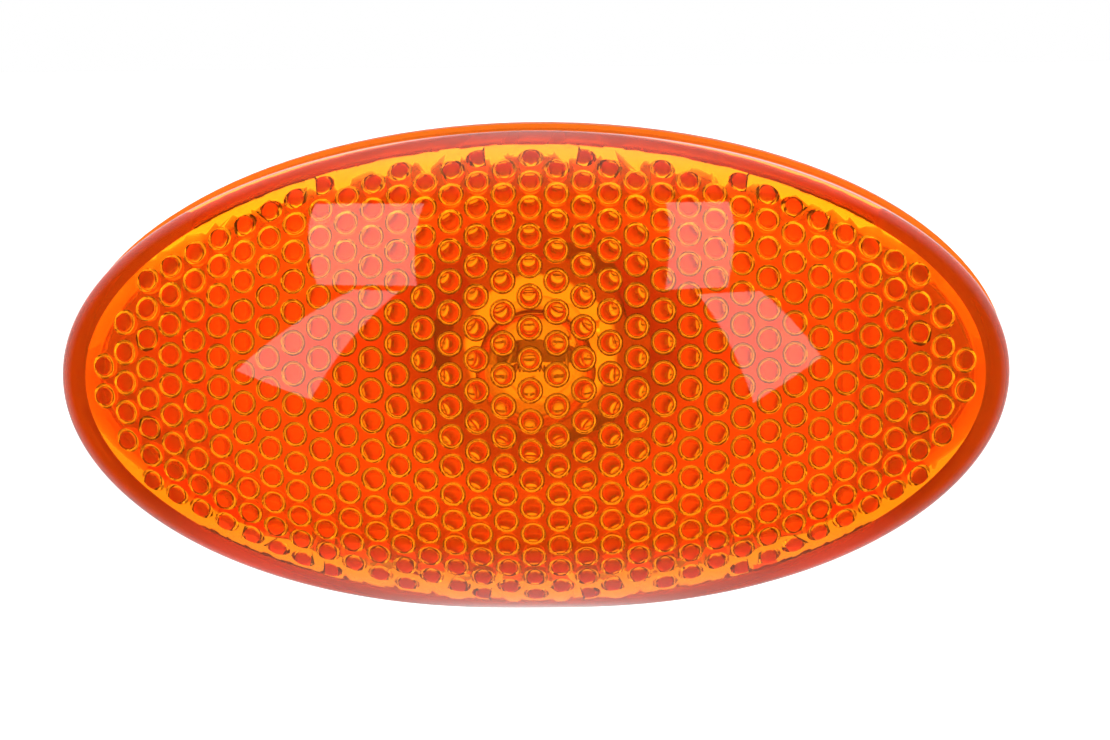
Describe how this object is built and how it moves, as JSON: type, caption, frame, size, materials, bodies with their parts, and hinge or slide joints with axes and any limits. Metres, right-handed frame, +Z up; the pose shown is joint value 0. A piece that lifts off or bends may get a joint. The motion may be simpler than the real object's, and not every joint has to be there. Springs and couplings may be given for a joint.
{
  "type": "vehicle side indicator lamp",
  "caption": "Oval amber side indicator lamp with a studded dome lens, amber housing, hook and spring clip mounting, bayonet bulb holder and capless bulb.",
  "frame": {"origin": "middle of the panel cut-out, on the panel's outer face, where the gasket seats", "axes": "as fitted to an upright panel: the lens faces -Y, the long side runs along X, +Z is up, and +Y points behind the panel"},
  "size_m": [0.0807, 0.0515, 0.0416],
  "materials": {
    "amber_lens": "transparent amber acrylic, polished",
    "amber_housing": "translucent amber plastic",
    "foam": "closed-cell foam",
    "spring_steel": "zinc-plated spring steel",
    "holder_plastic": "natural white nylon",
    "seal_rubber": "soft rubber",
    "contact_brass": "stamped",
    "bulb_glass": "clear blown glass",
    "tungsten": "coiled tungsten wire",
    "lead_wire": "drawn nickel wire"
  },
  "bodies": {
    "root": {"lens": "amber_lens", "housing": "amber_housing", "panel_gasket": "foam", "spring_clip": "spring_steel", "bulb_holder": "holder_plastic", "holder_seal": "seal_rubber", "contact_left": "contact_brass", "contact_right": "contact_brass", "bulb_envelope": "bulb_glass", "filament": "tungsten", "lead_wire_left": "lead_wire", "lead_wire_right": "lead_wire"}
  },
  "joints": []
}
